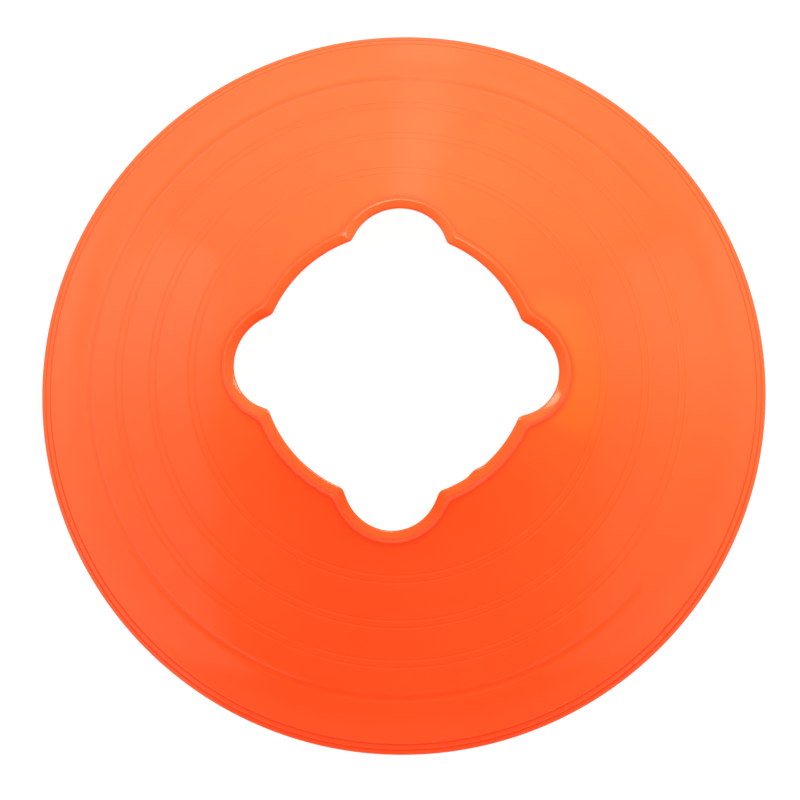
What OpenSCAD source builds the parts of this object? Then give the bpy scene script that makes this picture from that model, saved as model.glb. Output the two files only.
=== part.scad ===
// Flat sports marker cone: one thin moulded disc that rises from a foot ring to a four-lobed
// opening. The origin is the centre of the ground face, +Z is up, and the opening's lobes
// point along X and Y. All lengths are in millimetres.

/* [Cone] */
// Outer diameter of the foot
base_d = 190; // [170:1:230]
// Height from the ground to the top of the lip
height = 50; // [40:1:65]
// Thickness of the wall, square to its face
wall = 1.5; // [1:0.1:2.2]

/* [Foot] */
// Width of the flat ring that stands on the ground
foot_w = 2.4; // [2:0.1:5]
// Height of the upright outer edge
edge_h = 1; // [0.6:0.1:3]
// Drop of each of the two fine steps above the edge
step_drop = 0.5; // [0.2:0.1:1]
// Width of the ledge below each step
ledge_w = 1.4; // [1:0.1:2.5]

/* [Opening] */
// Diameter of the round opening between the lobes
opening_d = 66.6; // [55:0.2:75]
// Width of a lobe, which takes a training pole laid across the cone
lobe_d = 24; // [18:0.5:28]
// How far a lobe reaches past the round opening
lobe_reach = 7.4; // [5:0.1:9]
// Number of lobes
lobes = 4; // [3:1:4]
// Radius of the plastic's corner between a lobe and the round opening
corner_r = 0.8; // [0.4:0.1:1.2]

/* [Lip] */
// Width of the raised lip round the opening
lip_w = 3.8; // [3:0.1:5]
// Height of the lip above the wall
lip_h = 0.9; // [0.4:0.1:1.6]
// Width of the level land on top of the lip, between the lobes
land_w = 1.9; // [0.5:0.1:2.5]

/* [Rings] */
// Distance between the two fine beads of a ring, seen from above
ring_gap = 1.8; // [1.4:0.1:3]
// Width of a fine bead
bead_w = 0.7; // [0.5:0.1:1]
// Height of a fine bead above the wall
bead_h = 0.2; // [0.1:0.05:0.3]
// Width of the brim groove
groove_w = 1.6; // [1:0.1:2.4]
// Depth of the brim groove
groove_depth = 0.3; // [0.2:0.05:0.4]
// Angle of the plain stretch where the brim groove stops
plain_angle = 78; // [0:1:180]

/* [Hidden] */
$fn = 96;
// Sides of the round section of a fine bead or the groove, where it is drawn as a mesh
section_facets = 24;
// How far the rounding of a corner leans out of the plastic, as a share of its radius
corner_lean_share = 0.03;

base_r = base_d / 2;
opening_r = opening_d / 2;
lobe_r = lobe_d / 2;
// Centre of a lobe, from the axis
lobe_at = opening_r + lobe_reach - lobe_r;
// Centre of a corner's rounding: its distance from the axis, and its angle off the lobe's line
corner_at = opening_r + corner_r;
corner_turn = acos((pow(corner_at, 2) + pow(lobe_at, 2) - pow(lobe_r + corner_r, 2))
                   / (2 * corner_at * lobe_at));

// Outer edge of the lip's level land, from the axis
land_r = opening_r + land_w;

// Rise of the wall for each unit of its run towards the axis, past the two steps of the foot
foot_steps = 2;
wall_rise = height - lip_h - edge_h - foot_steps * step_drop;
slope = wall_rise / (base_r - land_r);
wall_angle = atan(slope);
// Thickness of the wall, straight up
wall_z = wall / cos(wall_angle);

// Places of the rings and the brim groove, as shares of the wall's run from opening to foot
ring_place_shares = [0.309, 0.484, 0.640];
groove_place_share = 0.784;

// How far a cutter runs past what it cuts
overrun = 1;

// Height of the wall's outer face at a distance from the axis, inside the foot's steps
function face_z(r) = height - lip_h - (r - land_r) * slope;

// Distance from the axis of a share of the wall's run
function run_r(share) = opening_r + share * (base_r - opening_r);

// Radius of a round section that shows with a width and a height above a flat face
function arc_r(w, h) = (pow(w / 2, 2) + pow(h, 2)) / (2 * h);

// A place on the wall's outer face, and as far above it as lift
function over_face(r, lift) =
    [r + lift * sin(wall_angle), face_z(r) + lift * cos(wall_angle)];

// Section of the wall and the foot, from just inside the opening out to the edge
module wall_section() {
    inner = opening_r - overrun;
    step_1 = base_r - foot_steps * ledge_w;
    step_2 = base_r - ledge_w;
    foot_in = base_r - foot_w;
    polygon([
        [inner, face_z(inner)],
        [step_1, face_z(step_1)],
        [step_1, face_z(step_1) - step_drop],
        [step_2, face_z(step_2) - step_drop],
        [step_2, face_z(step_2) - foot_steps * step_drop],
        [base_r, edge_h],
        [base_r, 0],
        [foot_in, 0],
        [foot_in, face_z(foot_in) - wall_z],
        [inner, face_z(inner) - wall_z]
    ]);
}

// The four-lobed outline, grown by a margin
module lobed_outline(grow) {
    circle(r = opening_r + grow);
    for (i = [0 : lobes - 1])
        rotate(i * 360 / lobes)
            translate([lobe_at, 0])
                circle(r = lobe_r + grow);
}

// The sliver that rounds one corner of the plastic between a lobe and the round opening. The
// rounding's circle leans out of the plastic a little, so that it crosses both of its edges.
module corner_sliver(side) {
    centre = corner_at * [cos(corner_turn), side * sin(corner_turn)];
    lobe_centre = [lobe_at, 0];
    to_lobe = (lobe_centre - centre) / norm(lobe_centre - centre);
    to_axis = -centre / norm(centre);
    outward = (to_lobe + to_axis) / norm(to_lobe + to_axis);
    difference() {
        polygon([
            centre,
            centre + 2 * corner_r * to_lobe,
            centre + 2 * corner_r * (to_lobe + to_axis),
            centre + 2 * corner_r * to_axis
        ]);
        circle_at(centre + corner_lean_share * corner_r * outward, corner_r);
    }
}

module circle_at(place, r) {
    translate(place)
        circle(r = r);
}

// The opening itself: the lobed outline with its corners rounded
module opening_outline() {
    lobed_outline(0);
    for (i = [0 : lobes - 1])
        rotate(i * 360 / lobes)
            for (side = [-1, 1])
                corner_sliver(side);
}

// The layer above the wall that the raised lip is cut from, rooted in the wall
module lip_layer() {
    reach = opening_r + lobe_reach + lip_w + overrun;
    inner = opening_r - overrun;
    rotate_extrude()
        polygon([
            [inner, face_z(inner) + lip_h],
            [reach, face_z(reach) + lip_h],
            [reach, face_z(reach) - wall_z / 2],
            [inner, face_z(inner) - wall_z / 2]
        ]);
}

// The raised lip, which follows the opening at one width
module lip() {
    intersection() {
        lip_layer();
        linear_extrude(height = height + overrun)
            lobed_outline(lip_w);
    }
}

// The space above the lip's level land
module crest_cut() {
    translate([0, 0, height])
        cylinder(r = land_r + overrun, h = (land_w + overrun) * slope + overrun);
}

// One fine round bead on the wall
module fine_bead(r) {
    section_r = arc_r(bead_w, bead_h);
    rotate_extrude()
        translate(over_face(r, bead_h - section_r))
            circle(r = section_r, $fn = section_facets);
}

// Two fine beads side by side
module ring(r) {
    fine_bead(r - ring_gap / 2);
    fine_bead(r + ring_gap / 2);
}

// The round cutter of the brim groove, which stops on both sides of the plain stretch
module groove_cutter() {
    section_r = arc_r(groove_w, groove_depth);
    rotate(plain_angle / 2)
        rotate_extrude(angle = 360 - plain_angle)
            translate(over_face(run_r(groove_place_share), section_r - groove_depth))
                circle(r = section_r, $fn = section_facets);
}

// The whole moulding
module marker_cone() {
    color("orangered")
        difference() {
            union() {
                rotate_extrude()
                    wall_section();
                lip();
                for (share = ring_place_shares)
                    ring(run_r(share));
            }
            translate([0, 0, -overrun])
                linear_extrude(height = height + 2 * overrun)
                    opening_outline();
            crest_cut();
            groove_cutter();
        }
}

marker_cone();
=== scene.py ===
from math import atan, cos, pi, radians, sin, tan

import bpy
from mathutils import Matrix, Vector


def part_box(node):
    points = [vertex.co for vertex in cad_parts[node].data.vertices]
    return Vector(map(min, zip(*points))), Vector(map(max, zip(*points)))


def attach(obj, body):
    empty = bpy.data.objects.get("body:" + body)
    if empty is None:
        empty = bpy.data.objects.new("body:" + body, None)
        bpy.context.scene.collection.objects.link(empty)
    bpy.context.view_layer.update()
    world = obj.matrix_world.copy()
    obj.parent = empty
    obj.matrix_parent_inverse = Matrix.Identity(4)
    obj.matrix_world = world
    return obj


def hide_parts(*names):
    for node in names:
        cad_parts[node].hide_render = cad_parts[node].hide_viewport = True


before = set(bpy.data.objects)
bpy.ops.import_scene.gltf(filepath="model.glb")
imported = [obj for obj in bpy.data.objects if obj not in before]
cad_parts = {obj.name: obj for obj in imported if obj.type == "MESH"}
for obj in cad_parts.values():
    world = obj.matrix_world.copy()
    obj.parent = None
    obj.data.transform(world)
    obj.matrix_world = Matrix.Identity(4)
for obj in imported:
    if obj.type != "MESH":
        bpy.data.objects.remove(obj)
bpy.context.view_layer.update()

# Sizes of the moulding, in metres. Its radius and height come from the frame.
MM = 0.001
cone_low, cone_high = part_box("marker_cone")
BASE_R = cone_high.x
HEIGHT = cone_high.z
WALL = 1.5 * MM

# The foot: a flat ring on the ground, an upright outer edge, and two fine steps above it
FOOT_W = 2.4 * MM
EDGE_H = 1.0 * MM
EDGE_SOFT = 0.2 * MM
FOOT_STEPS = 2
STEP_DROP = 0.5 * MM
STEP_CRISP = 0.04 * MM
STEP_HAIRLINE = 0.1 * MM
LEDGE_W = 1.4 * MM

# The opening: a round hole with four lobes, and the stub of a trimmed gate on its edge
OPENING_R = 33.3 * MM
LOBE_R = 12.0 * MM
LOBE_REACH = 7.4 * MM
LOBE_AT = OPENING_R + LOBE_REACH - LOBE_R
LOBES = 4
CORNER_SOFT = 2.2 * MM
GATE_ANGLE = radians(-51.5)
GATE_WIDTH = radians(5.5)
GATE_DEPTH = 0.5 * MM

# The lip round the opening, from its lower edge to where the plain wall starts
LIP_W = 3.8 * MM
LIP_H = 0.9 * MM
LIP_LOW_EDGE = 0.2 * MM
LIP_ROUND_W = 0.85 * MM
LIP_ROUND_H = 0.42 * MM
LAND_W = 2.2 * MM
LAND_ROUND = 0.4 * MM
CREST_W = 0.2 * MM
CREST_ANGLE = radians(44)
FLANK_ANGLE = radians(71)
FLANK_CRISP = 0.03 * MM
VALLEY_DEPTH = 0.22 * MM
VALLEY_BANK = 0.3 * MM
LIP_FOOT = 4.3 * MM
LIP_MARGIN = 0.2 * MM
LIP_END = LIP_FOOT + LIP_MARGIN

# The rings: three pairs of fine lines
RING_SHARES = (0.309, 0.484, 0.640)
RING_GAP = 1.8 * MM
LINE_W = 0.45 * MM
LINE_H = 0.1 * MM
LINE_BEND = 0.05 * MM
LINE_SHADE_W = 0.2 * MM
LINE_FADE = 5.5 * MM

# The brim groove and the stretch from there to the foot
GROOVE_SHARE = 0.784
GROOVE_SHIFT = 1.9 * MM
GROOVE_IN_W = 0.8 * MM
GROOVE_OUT_W = 1.6 * MM
GROOVE_DEPTH = 0.13 * MM
GROOVE_MARGIN = 0.1 * MM
PLAIN_ANGLE = radians(74)
TAPER_ANGLE = radians(3)
FLARE_DEPTH = 0.22 * MM
FLARE_MARGIN = 0.3 * MM

# Painted shading of the plastic: painted shade in the creases up to 1 and darker painted shade on
# the lower edges up to 2, or how far a painted highlight makes it paler
STEP_SHADE = 1.0
LINE_SHADE = 0.5
LINE_HIGHLIGHT = 0.5
GROOVE_SHADE = 0.4
GROOVE_HIGHLIGHT = 0.56
EDGE_SHADE = 2.0

# The wall's rise towards the axis, which is measured to the outer edge of the level land on
# the CAD's lip, and its thickness straight up
CAD_LAND_W = 1.9 * MM
LAND_R = OPENING_R + CAD_LAND_W
SLOPE = (HEIGHT - LIP_H - EDGE_H - FOOT_STEPS * STEP_DROP) / (BASE_R - LAND_R)
WALL_Z = WALL / cos(atan(SLOPE))

# The slow warp that both skins share: its depth, its lumps a metre, and its seed
WARP_DEPTH = 0.16 * MM
WARP_LUMPS = 16.0
WARP_SEED = 4.0

# How many times the section is set round the axis
COLUMNS = 704


def face_z(r):
    """Height of the wall's outer face at a distance from the axis, inside the foot's steps."""
    return HEIGHT - LIP_H - (r - LAND_R) * SLOPE


def run_r(share):
    """Distance from the axis of a share of the wall's run from the opening to the foot."""
    return OPENING_R + share * (BASE_R - OPENING_R)


def add_object(name, data):
    """A new object at the origin of the scene."""
    made = bpy.data.objects.new(name, data)
    bpy.context.scene.collection.objects.link(made)
    return made


class Field:
    """A number or a vector that flows through a node tree. Its operators add Math nodes."""

    def __init__(self, tree, socket):
        self.tree = tree
        self.socket = socket

    def maths(self, operation, *values):
        sockets = dict(enumerate((self, *values)))
        return self.tree.node("ShaderNodeMath", {"operation": operation}, sockets)

    def __add__(self, other):
        return self.maths("ADD", other)

    def __sub__(self, other):
        return self.maths("SUBTRACT", other)

    def __mul__(self, other):
        return self.maths("MULTIPLY", other)

    def __truediv__(self, other):
        return self.maths("DIVIDE", other)

    def __pow__(self, other):
        return self.maths("POWER", other)

    def __neg__(self):
        return self.maths("MULTIPLY", -1.0)

    def __rsub__(self, other):
        return -self + other

    def __rtruediv__(self, other):
        return self ** -1.0 * other

    __radd__ = __add__
    __rmul__ = __mul__

    def rise(self, low, high):
        """Goes smoothly from 0 where this value is low to 1 where it is high."""
        sockets = {"Value": self, "From Min": low, "From Max": high}
        settings = {"interpolation_type": "SMOOTHSTEP"}
        return self.tree.node("ShaderNodeMapRange", settings, sockets)


class Tree:
    """A node tree to which nodes are added one at a time."""

    def __init__(self, raw):
        self.raw = raw

    def node(self, kind, settings=None, sockets=None, out=0):
        """Adds a node, gives it its settings and then its sockets' values or links, and
        returns one of its outputs."""
        made = self.raw.nodes.new(kind)
        for name, value in (settings or {}).items():
            setattr(made, name, value)
        for key, value in (sockets or {}).items():
            if isinstance(value, Field):
                self.raw.links.new(value.socket, made.inputs[key])
            else:
                made.inputs[key].default_value = value
        return Field(self, made.outputs[out]) if len(made.outputs) else None

    def parts(self, vector, axes):
        """The parts of a vector along some of the axes X, Y and Z."""
        return [self.node("ShaderNodeSeparateXYZ", {}, {0: vector}, axis) for axis in axes]

    def mix(self, share, low, high):
        """A colour that goes from low to high with a share."""
        factor, colour_a, colour_b, result = 0, 6, 7, 2
        sockets = {factor: share, colour_a: low, colour_b: high}
        return self.node("ShaderNodeMix", {"data_type": "RGBA"}, sockets, result)

    def noise(self, place, scale, detail=2.0, roughness=0.5):
        """Soft noise from 0 to 1, at so many lumps a metre."""
        sockets = {"Vector": place, "Scale": scale, "Detail": detail, "Roughness": roughness}
        return self.node("ShaderNodeTexNoise", {}, sockets)


def empty_tree(owner):
    """The node tree of a material or a world, with nothing in it yet."""
    owner.use_nodes = True
    owner.node_tree.nodes.clear()
    return Tree(owner.node_tree)


class Section:
    """The closed section of the moulding, from the opening's lower edge over the lip and the
    wall to the foot, and back along the underside.

    A row's values are its distance from the axis (run), its distance from the opening's edge
    (offset), how far it follows that edge (lobed, 1) or a circle (0), its height above the wall's
    outer face (lift), what the brim groove adds to that height (groove), its painted shading,
    which is painted shade above 0 and a painted highlight that makes the plastic paler below 0,
    and how far that shading ends with the groove (fades)."""

    VALUES = ("run", "offset", "lobed", "lift", "groove", "painted_shading", "fades")

    def __init__(self):
        self.rows = []

    def lip_row(self, offset, lift, painted_shading=0.0):
        self.rows.append((OPENING_R + offset, offset, 1.0, lift, 0.0, painted_shading, 0.0))

    def lip_row_at(self, offset, z, painted_shading=0.0):
        self.lip_row(offset, z - face_z(OPENING_R + offset), painted_shading)

    def row(self, r, lift, lobed=0.0, groove=0.0, painted_shading=0.0, fades=0.0):
        self.rows.append((r, LIP_END, lobed, lift, groove, painted_shading, fades))

    def row_at(self, r, z, painted_shading=0.0):
        self.row(r, z - face_z(r), painted_shading=painted_shading)


def bend(start, corner, end, shares):
    """Points on the smooth bend that a corner is rounded to."""
    return [tuple(a * (1 - t) ** 2 + b * 2 * t * (1 - t) + c * t ** 2
                  for a, b, c in zip(start, corner, end)) for t in shares]


def add_lip(section):
    """The lip: a lower edge painted dark as painted shade, a round inner edge, a level land, a
    crest, and a steep flank that runs down to a shallow valley beside the wall, which is painted
    darker as painted shade."""
    # The lower edge's rows are painted dark, as painted shade
    for share in (0.0, 0.35, 0.7, 1.0):
        turn = share * pi / 2
        section.lip_row(LIP_LOW_EDGE * (1 - sin(turn)),
                        LIP_LOW_EDGE * (1 - cos(turn)) - WALL_Z, EDGE_SHADE)
    section.lip_row(0.0, 2 * LIP_LOW_EDGE - WALL_Z)

    flank_slope = tan(FLANK_ANGLE)
    crest_end = LAND_W + CREST_W
    crest_z = HEIGHT - CREST_W * tan(CREST_ANGLE)
    wall_drop = crest_z - face_z(OPENING_R + crest_end) + VALLEY_DEPTH
    flank_end = crest_end + wall_drop / (flank_slope - SLOPE)
    foot_z = crest_z - flank_slope * (flank_end - crest_end)
    points = bend((0.0, HEIGHT - LIP_ROUND_H), (0.0, HEIGHT), (LIP_ROUND_W, HEIGHT),
                  shares=(0.0, 0.15, 0.3, 0.45, 0.6, 0.8, 1.0))
    points += bend((LAND_W - LAND_ROUND, HEIGHT), (LAND_W, HEIGHT), (crest_end, crest_z),
                   shares=(0.0, 0.2, 0.4, 0.6, 0.8, 1.0))
    points.append((crest_end + FLANK_CRISP, crest_z - flank_slope * FLANK_CRISP))
    points.append((flank_end - FLANK_CRISP, foot_z + flank_slope * FLANK_CRISP))
    for offset, z in points:
        section.lip_row_at(offset, z)

    # The valley: its floor falls a little less steeply than the wall, and then it climbs out. Its
    # rows are painted darker as painted shade, most at the foot of the flank.
    floor_share = 0.8
    climb_share = 0.6
    valley = bend((flank_end, foot_z),
                  (flank_end + VALLEY_BANK, foot_z - VALLEY_BANK * SLOPE * floor_share),
                  (flank_end + 2 * VALLEY_BANK,
                   foot_z + climb_share * VALLEY_DEPTH - 2 * VALLEY_BANK * SLOPE),
                  shares=(0.0, 0.3, 0.6, 1.0))
    valley.append((LIP_FOOT, face_z(OPENING_R + LIP_FOOT)))
    for crease_shade, (offset, z) in zip((1.0, 0.8, 0.5, 0.2, 0.0), valley):
        section.lip_row_at(offset, z, crease_shade)
    section.lip_row(LIP_END, 0.0)


def add_blend(section, r, lift, outwards=True):
    """Rows between the lip's end and the first round row, where the wall is plain."""
    shares = (0.25, 0.5, 0.75)
    for share in shares if outwards else reversed(shares):
        section.row(r, lift, lobed=1 - share)
    if outwards:
        section.row(r, lift)


def add_ring(section, centre):
    """A pair of fine raised lines. Each one is a narrow strip that lies flatter than the wall and
    is painted paler as a painted highlight, with a hairline of painted shade on its inner side."""
    bend_share = 0.06
    low = centre - RING_GAP / 2 - LINE_W / 2
    for line in (0, 1):
        start = low + line * RING_GAP
        end = start + LINE_W
        base = line * LINE_H
        section.row(start - LINE_SHADE_W - LINE_BEND, base)
        section.row(start - LINE_SHADE_W, base, painted_shading=LINE_SHADE)
        section.row(start, base, painted_shading=LINE_SHADE)
        section.row(start + LINE_BEND, base + bend_share * LINE_H, painted_shading=-LINE_HIGHLIGHT)
        section.row(end - LINE_BEND, base + (1 - bend_share) * LINE_H, painted_shading=-LINE_HIGHLIGHT)
        section.row(end, base + LINE_H)
        section.row(end + LINE_BEND, base + LINE_H)
    section.row(low + RING_GAP + LINE_W + LINE_FADE, 0.0)


def add_groove(section, centre):
    """The shallow brim groove: a short inner side painted darker as painted shade, and an outer
    side that rises ever more steeply to an edge painted paler as a painted highlight. Returns
    where the wall goes on."""
    start = centre - GROOVE_SHIFT
    section.row(start - GROOVE_MARGIN, 0.0)
    for share in (0.0, 0.12, 0.3, 0.5, 0.7, 0.88, 1.0):
        settled = share * share * (3 - 2 * share)
        section.row(start + share * GROOVE_IN_W, 0.0, groove=-GROOVE_DEPTH * settled,
                    painted_shading=GROOVE_SHADE * settled, fades=1.0)
    rise = start + GROOVE_IN_W
    for share in (0.15, 0.3, 0.45, 0.6, 0.75, 0.88, 0.97):
        climbed = share ** 2
        section.row(rise + share * GROOVE_OUT_W, 0.0, groove=GROOVE_DEPTH * (climbed - 1),
                    painted_shading=GROOVE_SHADE - (GROOVE_SHADE + GROOVE_HIGHLIGHT) * climbed, fades=1.0)
    section.row(rise + GROOVE_OUT_W, 0.0)
    end = rise + GROOVE_OUT_W + GROOVE_MARGIN
    section.row(end, 0.0)
    return end


def add_flare(section, start, end):
    """The stretch between the groove and the foot, which flattens a little on its way down."""
    for share in (0.1, 0.25, 0.4, 0.55, 0.7, 0.85, 0.95):
        dip = 4 * FLARE_DEPTH * share * (1 - share)
        section.row(start + share * (end - start), -dip)


def add_step(section, r, lift):
    """One fine step of the foot: a crisp edge, and a hair-fine groove at its bottom, painted
    darker as painted shade, as is the start of the ledge below it.
    """
    ledge = lift - STEP_DROP
    bottom = ledge - STEP_HAIRLINE
    hold = 6 * STEP_CRISP
    bank = 4 * STEP_CRISP
    edge_share = 0.3
    corner_share = 0.2
    ledge_shade = 0.4
    section.row(r - hold, lift)
    section.row(r - STEP_CRISP, lift)
    section.row(r - edge_share * STEP_CRISP, lift - edge_share * STEP_CRISP)
    section.row(r, lift - STEP_CRISP)
    section.row(r + corner_share * STEP_CRISP, bottom + STEP_CRISP, painted_shading=STEP_SHADE)
    section.row(r + STEP_CRISP, bottom, painted_shading=STEP_SHADE)
    section.row(r + hold, bottom, painted_shading=STEP_SHADE)
    section.row(r + hold + bank, ledge, painted_shading=ledge_shade)
    section.row(r + hold + 2 * bank, ledge)


def add_foot(section):
    """The two steps, the upright edge painted dark as painted shade, the flat ring that stands on
    the ground, and the corner between that ring and the underside."""
    for step in range(FOOT_STEPS):
        add_step(section, BASE_R - (FOOT_STEPS - step) * LEDGE_W, -step * STEP_DROP)
    low_face = -FOOT_STEPS * STEP_DROP
    bevel = 0.3 * EDGE_SOFT
    top_bevel = 0.2 * EDGE_SOFT
    section.row(BASE_R - 2 * EDGE_SOFT, low_face)
    section.row(BASE_R - EDGE_SOFT, low_face)
    # The upright outer edge is painted dark, as painted shade
    section.row_at(BASE_R - bevel, EDGE_H - top_bevel, EDGE_SHADE)
    section.row_at(BASE_R, EDGE_H - EDGE_SOFT, EDGE_SHADE)
    section.row_at(BASE_R, EDGE_SOFT, EDGE_SHADE)
    section.row_at(BASE_R - bevel, bevel, EDGE_SHADE)
    section.row_at(BASE_R - EDGE_SOFT, 0.0)
    inner = BASE_R - FOOT_W
    section.row_at(inner + EDGE_SOFT, 0.0)
    section.row_at(inner + bevel, bevel)
    section.row_at(inner, EDGE_SOFT)
    section.row_at(inner, face_z(inner) - WALL_Z - EDGE_SOFT)
    section.row(inner - EDGE_SOFT / 2, -WALL_Z)
    section.row(inner - 2 * EDGE_SOFT, -WALL_Z)


def add_underside(section, first_ring):
    """The plain underside, back to the opening."""
    for share in (0.85, 0.7, 0.55, 0.4):
        section.row(run_r(share), -WALL_Z)
    section.row(first_ring, -WALL_Z)
    add_blend(section, first_ring, -WALL_Z, outwards=False)
    section.lip_row(LIP_FOOT, -WALL_Z)
    section.lip_row(LIP_W / 3, -WALL_Z)


def make_section():
    """The whole section as a closed line of points with the rows' values as attributes."""
    section = Section()
    rings = [run_r(share) for share in RING_SHARES]
    add_lip(section)
    add_blend(section, rings[0] - RING_GAP, 0.0)
    for ring in rings:
        add_ring(section, ring)
    flare_start = add_groove(section, run_r(GROOVE_SHARE))
    add_flare(section, flare_start, BASE_R - FOOT_STEPS * LEDGE_W - FLARE_MARGIN)
    add_foot(section)
    add_underside(section, rings[0])

    count = len(section.rows)
    values_of = dict(zip(Section.VALUES, zip(*section.rows)))
    points = [(r, 0.0, face_z(r) + lift) for r, lift in zip(values_of["run"], values_of["lift"])]
    line = bpy.data.meshes.new("section_line")
    line.from_pydata(points, [(i, (i + 1) % count) for i in range(count)], [])
    for name, values in values_of.items():
        line.attributes.new(name, "FLOAT", "POINT").data.foreach_set("value", values)
    return line


def shell_tree():
    """Sweeps the section round the axis and lets its lobed rows follow the opening's edge."""
    raw = bpy.data.node_groups.new("moulded_shell", "GeometryNodeTree")
    tree = Tree(raw)
    sizes = {
        "Columns": ("NodeSocketInt", COLUMNS),
        "Opening radius": ("NodeSocketFloat", OPENING_R),
        "Lobe radius": ("NodeSocketFloat", LOBE_R),
        "Lobe centre": ("NodeSocketFloat", LOBE_AT),
        "Lobes": ("NodeSocketInt", LOBES),
        "Corner softness": ("NodeSocketFloat", CORNER_SOFT),
        "Apex height": ("NodeSocketFloat", face_z(0.0)),
        "Slope": ("NodeSocketFloat", SLOPE),
        "Height": ("NodeSocketFloat", HEIGHT),
        "Plain half angle": ("NodeSocketFloat", PLAIN_ANGLE / 2),
        "Taper angle": ("NodeSocketFloat", TAPER_ANGLE),
        "Gate angle": ("NodeSocketFloat", GATE_ANGLE),
        "Gate width": ("NodeSocketFloat", GATE_WIDTH),
        "Gate depth": ("NodeSocketFloat", GATE_DEPTH),
        "Lip width": ("NodeSocketFloat", LIP_W),
        "Warp": ("NodeSocketFloat", WARP_DEPTH),
        "Warp lumps a metre": ("NodeSocketFloat", WARP_LUMPS),
        "Warp seed": ("NodeSocketFloat", WARP_SEED),
        "Plastic": ("NodeSocketMaterial", None),
    }
    raw.interface.new_socket("Geometry", in_out="INPUT", socket_type="NodeSocketGeometry")
    for name, (kind, _) in sizes.items():
        raw.interface.new_socket(name, in_out="INPUT", socket_type=kind)
    raw.interface.new_socket("Geometry", in_out="OUTPUT", socket_type="NodeSocketGeometry")
    entry = raw.nodes.new("NodeGroupInput")
    size = {socket.name: Field(tree, socket) for socket in entry.outputs if socket.name}

    def row_value(name):
        return tree.node("GeometryNodeInputNamedAttribute", {"data_type": "FLOAT"}, {"Name": name})

    # The sweep: each place on the rail keeps its turn round the axis, from 0 to 1
    rail = tree.node("GeometryNodeCurvePrimitiveCircle", {}, {"Resolution": size["Columns"]})
    column = tree.node("GeometryNodeInputIndex")
    rail = tree.node("GeometryNodeStoreNamedAttribute", {"data_type": "FLOAT"},
                     {"Geometry": rail, "Name": "turn", "Value": column / size["Columns"]})
    profile = tree.node("GeometryNodeMeshToCurve", {}, {"Mesh": size["Geometry"]})
    swept = tree.node("GeometryNodeCurveToMesh", {}, {"Curve": rail, "Profile Curve": profile})

    # The opening's edge: the larger of the round hole and the nearest lobe, with soft corners
    angle = row_value("turn") * (2 * pi)
    from_lobe = angle.maths("PINGPONG", pi / size["Lobes"])
    offset = row_value("offset")
    round_edge = size["Opening radius"] + offset
    across = size["Lobe centre"] * from_lobe.maths("SINE")
    reach = ((size["Lobe radius"] + offset) ** 2.0 - across ** 2.0).maths("MAXIMUM", 0.0)
    lobe_edge = size["Lobe centre"] * from_lobe.maths("COSINE") + reach.maths("SQRT")
    edge = round_edge.maths("SMOOTH_MAX", lobe_edge, size["Corner softness"])

    # The trimmed gate: a small stub on the edge, which fades out across the lip
    from_gate = (angle - size["Gate angle"]).maths("PINGPONG", pi)
    stub = (1.0 - from_gate.rise(0.0, size["Gate width"])) * size["Gate depth"]
    edge = edge - stub * (1.0 - offset.rise(0.0, size["Lip width"]))

    run = row_value("run")
    radius = run + (edge - run) * row_value("lobed")

    # The groove ends in tapers on both sides of its plain stretch
    from_plain = angle.maths("PINGPONG", pi)
    depth_share = from_plain.rise(size["Plain half angle"],
                                  size["Plain half angle"] + size["Taper angle"])
    height = (size["Apex height"] - radius * size["Slope"] + row_value("lift")
              + row_value("groove") * depth_share)
    # The groove's painted shade and painted highlight fade out with its tapers
    painted_shading = row_value("painted_shading") * (1.0 - row_value("fades") * (1.0 - depth_share))

    # Both skins share one slow warp, which dies out towards the ground
    x = radius * angle.maths("COSINE")
    y = radius * angle.maths("SINE")
    flat = tree.node("ShaderNodeCombineXYZ", {}, {"X": x, "Y": y, "Z": size["Warp seed"]})
    lumps = tree.noise(flat, size["Warp lumps a metre"], detail=1.0)
    warp = (lumps - 0.5) * size["Warp"] * (height / size["Height"])
    place = tree.node("ShaderNodeCombineXYZ", {}, {"X": x, "Y": y, "Z": height + warp})

    shaped = tree.node("GeometryNodeSetPosition", {}, {"Geometry": swept, "Position": place})
    marked = tree.node("GeometryNodeStoreNamedAttribute", {"data_type": "FLOAT"},
                       {"Geometry": shaped, "Name": "painted_shading", "Value": painted_shading})
    smooth = tree.node("GeometryNodeSetShadeSmooth", {}, {"Geometry": marked})
    real = tree.node("GeometryNodeRealizeInstances", {}, {"Geometry": smooth})
    ready = tree.node("GeometryNodeSetMaterial", {},
                      {"Geometry": real, "Material": size["Plastic"]})
    leave = raw.nodes.new("NodeGroupOutput")
    raw.links.new(ready.socket, leave.inputs[0])
    return raw, sizes


def make_shell(plastic):
    """The finished shell as one plain closed mesh."""
    maker = add_object("section_line", make_section())
    raw, sizes = shell_tree()
    modifier = maker.modifiers.new("moulded_shell", "NODES")
    modifier.node_group = raw
    for item in raw.interface.items_tree:
        if item.in_out == "INPUT" and item.name in sizes:
            value = plastic if item.name == "Plastic" else sizes[item.name][1]
            modifier[item.identifier] = value
    bpy.context.view_layer.update()
    evaluated = maker.evaluated_get(bpy.context.evaluated_depsgraph_get())
    mesh = bpy.data.meshes.new_from_object(evaluated)
    maker.modifiers.remove(modifier)
    bpy.data.objects.remove(maker)
    return add_object("cone_shell", mesh)


def fine_scratches(tree, place, turn):
    """Hair-fine short lines, all turned one way, from 0 to 1."""
    along = 90.0
    across = 5200.0
    turned = tree.node("ShaderNodeVectorRotate", {"rotation_type": "Z_AXIS"},
                       {"Vector": place, "Angle": radians(turn)})
    stretched = tree.node("ShaderNodeVectorMath", {"operation": "MULTIPLY"},
                          {0: turned, 1: (along, across, along)})
    return tree.noise(stretched, scale=1.0, detail=0.0).rise(0.76, 0.8)


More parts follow.
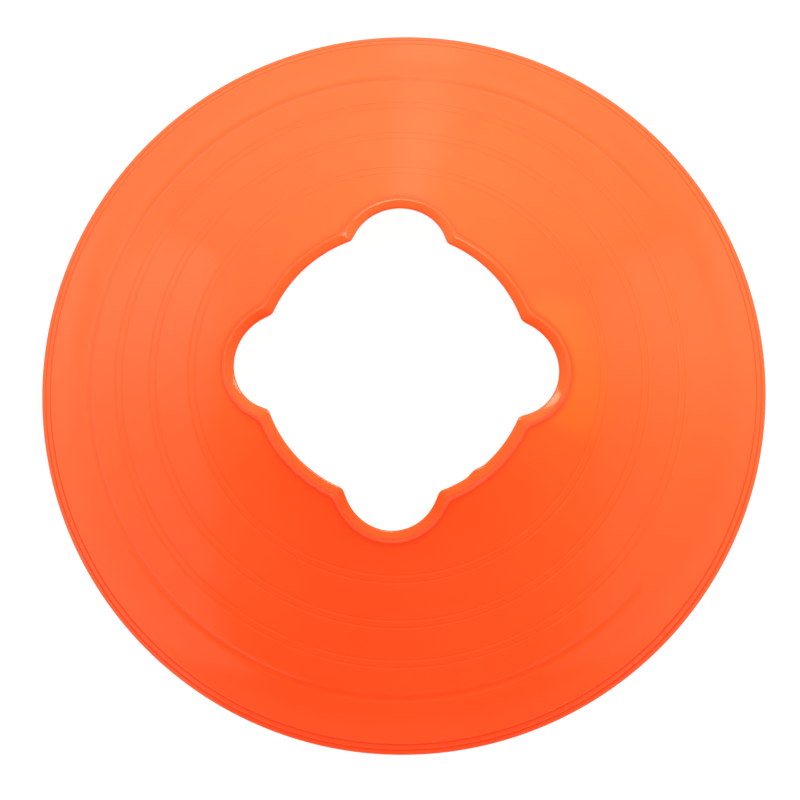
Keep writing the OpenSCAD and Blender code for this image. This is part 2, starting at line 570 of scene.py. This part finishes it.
def orange_plastic():
    """Glossy, slightly waxy polyethylene in fluorescent orange."""
    material = bpy.data.materials.new("orange_polyethylene")
    tree = empty_tree(material)
    place = tree.node("ShaderNodeTexCoord", out="Object")

    # Pigment: slow drifts of tone, and a fine speckle
    deep = (0.92, 0.122, 0.0185, 1.0)
    light = (0.95, 0.142, 0.026, 1.0)
    drift = tree.noise(place, scale=22.0, detail=3.0)
    speckle = tree.noise(place, scale=2200.0)
    drift_gain = 1.3
    speckle_gain = 0.35
    tone = (drift - 0.5) * drift_gain + (speckle - 0.5) * speckle_gain + 0.5
    pigment = tree.mix(tone.rise(0.0, 1.0), deep, light)

    # Painted light and shade: the brim, the lines and the groove's edge are painted paler as a
    # painted highlight, the creases and corners are painted a little darker as painted shade, and
    # the lower edges are painted darker still as painted shade
    pale = (0.97, 0.16, 0.044, 1.0)
    crease_shade = (0.80, 0.085, 0.012, 1.0)
    edge_shade = (0.30, 0.09, 0.05, 1.0)
    # The brim is painted paler towards the foot, as a painted highlight
    brim_highlight = 0.4
    brim_start = 84.0 * MM
    brim_end = 90.0 * MM
    east, north = tree.parts(place, "XY")
    radius = (east ** 2.0 + north ** 2.0) ** 0.5
    painted_shading = tree.node("ShaderNodeAttribute", {"attribute_name": "painted_shading"}, out="Fac")
    painted_highlight = radius.rise(brim_start, brim_end) * brim_highlight - painted_shading.maths("MINIMUM", 0.0)
    pigment = tree.mix(painted_highlight, pigment, pale)
    pigment = tree.mix(painted_shading, pigment, crease_shade)
    pigment = tree.mix(painted_shading - 1.0, pigment, edge_shade)

    # Gloss: faint smudges
    roughness = 0.13
    smudge_gain = 0.08
    smudge = tree.noise(place, scale=38.0, detail=4.0, roughness=0.6)
    gloss = roughness + (smudge - 0.5) * smudge_gain

    # Relief: a soft orange peel, a fine moulded grain, and short scratches that run two ways
    peel_depth = 0.003 * MM
    grain_depth = 0.0005 * MM
    scratch_depth = 0.002 * MM
    scratch = fine_scratches(tree, place, turn=25.0) + fine_scratches(tree, place, turn=112.0)
    peel = tree.noise(place, scale=300.0, detail=1.0)
    grain = tree.noise(place, scale=2600.0, detail=1.0)
    relief = peel * peel_depth + grain * grain_depth - scratch * scratch_depth
    bump = tree.node("ShaderNodeBump", {}, {"Strength": 1.0, "Distance": 1.0, "Height": relief})

    # The plastic is given a faint orange glow of its own: a painted glow that stands in for the
    # extra brightness its fluorescent pigment gives under light
    shader = tree.node("ShaderNodeBsdfPrincipled", {}, {
        "Base Color": pigment, "Roughness": gloss, "IOR": 1.51, "Normal": bump,
        "Specular IOR Level": 0.3, "Specular Tint": (1.0, 1.0, 0.75, 1.0),
        "Subsurface Weight": 0.12, "Subsurface Radius": (1.0, 0.25, 0.06),
        "Subsurface Scale": 1.2 * MM, "Emission Color": (1.0, 0.01, 0.0, 1.0),
        "Emission Strength": 0.5})
    tree.node("ShaderNodeOutputMaterial", {}, {"Surface": shader})
    return material


def pale_floor():
    """A wide plain floor that is a little bright of itself, as a lit table is."""
    material = bpy.data.materials.new("pale_floor")
    tree = empty_tree(material)
    shader = tree.node("ShaderNodeBsdfPrincipled", {}, {
        "Base Color": (0.2, 0.2, 0.2, 1.0), "Roughness": 0.9, "Specular IOR Level": 0.1,
        "Emission Color": (1.0, 1.0, 1.0, 1.0), "Emission Strength": 0.97})
    tree.node("ShaderNodeOutputMaterial", {}, {"Surface": shader})

    half = 6.0
    gap = 0.02 * MM
    mesh = bpy.data.meshes.new("floor")
    corners = [(-half, -half, 0.0), (half, -half, 0.0), (half, half, 0.0), (-half, half, 0.0)]
    mesh.from_pydata(corners, [], [(0, 1, 2, 3)])
    mesh.materials.append(material)
    floor = add_object("floor", mesh)
    floor.location.z = cone_low.z - gap


def set_world():
    """A studio that is pale in the north, with a brighter streak due north, half as bright
    overhead, and dim on the near side. The camera itself sees plain white."""
    world = bpy.data.worlds.new("studio")
    bpy.context.scene.world = world
    tree = empty_tree(world)
    x, y, z = tree.parts(tree.node("ShaderNodeTexCoord", out="Generated"), "XYZ")

    dim = 0.16
    north_gain = 0.76
    streak_gain = 0.9
    overhead_strength = 0.54
    north = y.rise(-0.2, 0.5)
    streak = y.rise(0.5, 0.9) * (1.0 - x.maths("ABSOLUTE").rise(0.02, 0.16))
    pale = dim + north * north_gain + streak * streak_gain
    overhead = z.rise(0.4, 0.8)
    strength = pale + (overhead_strength - pale) * overhead
    seen = tree.node("ShaderNodeLightPath", out="Is Camera Ray")
    shown = strength + (1.0 - strength) * seen
    white = (1.0, 1.0, 1.0, 1.0)
    glow = tree.node("ShaderNodeBackground", {}, {"Color": white, "Strength": shown})
    tree.node("ShaderNodeOutputWorld", {}, {"Surface": glow})


def panel(name, place, facing, width, height, radiance, shape="RECTANGLE", colour=(1, 1, 1)):
    """A light panel, upright or leaning, that the camera doesn't see."""
    power_for_radiance = 4.0
    light = bpy.data.lights.new(name, "AREA")
    light.shape = shape
    light.color = colour
    light.size = width
    light.size_y = height
    area = width * height * (pi / 4 if shape == "ELLIPSE" else 1.0)
    light.energy = power_for_radiance * radiance * area
    back = -facing.normalized()
    right = Vector((0.0, 0.0, 1.0)).cross(back).normalized()
    turn = Matrix((right, back.cross(right), back)).transposed().to_4x4()
    lamp = add_object(name, light)
    lamp.matrix_world = Matrix.Translation(place) @ turn
    lamp.visible_camera = False


def set_lights():
    """A large softbox high in the north, a low pale card on each side of the cone, and a small
    yellow card just above the east one."""
    azimuth = radians(83)
    elevation = radians(46)
    distance = 1.3
    softbox = 0.62
    towards = Vector((cos(azimuth) * cos(elevation), sin(azimuth) * cos(elevation),
                      sin(elevation)))
    panel("key_softbox", towards * distance, -towards, softbox, softbox, radiance=7.4)

    card_x = 0.216
    card_y = -0.24
    card_w = 0.80
    low = 0.006
    cards = (("west_card", -1.0, 0.072, 0.66), ("east_card", 1.0, 0.079, 0.46))
    for name, side, top, radiance in cards:
        panel(name, Vector((side * card_x, card_y, (top + low) / 2)), Vector((-side, 0.0, 0.0)),
              card_w, top - low, radiance, "ELLIPSE")
    panel("warm_card", Vector((card_x, 0.05, 0.088)), Vector((-1.0, 0.0, 0.0)),
          width=0.20, height=0.036, radiance=1.1, shape="ELLIPSE", colour=(1.0, 0.85, 0.0))


def set_camera():
    """The photograph's view: almost straight down, leaned a little towards the near side."""
    distance = 0.9
    lean = radians(7.75)
    lean_turn = radians(-71.9)
    roll = radians(1.6)
    frame_px = 800
    px_per_mm = 3.8075
    centre_px = (2.6, 8.5)
    sensor = 36.0

    back = Vector((sin(lean) * cos(lean_turn), sin(lean) * sin(lean_turn), cos(lean)))
    right = Vector((cos(roll), sin(roll), 0.0))
    right = (right - back * right.dot(back)).normalized()
    up = back.cross(right)
    aside = -(right * centre_px[0] + up * centre_px[1]) * MM / px_per_mm

    camera_data = bpy.data.cameras.new("camera")
    camera_data.sensor_width = sensor
    camera_data.lens = px_per_mm * distance / MM / frame_px * sensor
    camera = add_object("camera", camera_data)
    turn = Matrix((right, up, back)).transposed().to_4x4()
    camera.matrix_world = Matrix.Translation(back * distance + aside) @ turn
    bpy.context.scene.camera = camera


set_camera()
shell = make_shell(orange_plastic())
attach(shell, "root")
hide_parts("marker_cone")

pale_floor()
set_world()
set_lights()
bpy.context.scene.view_settings.view_transform = "Standard"
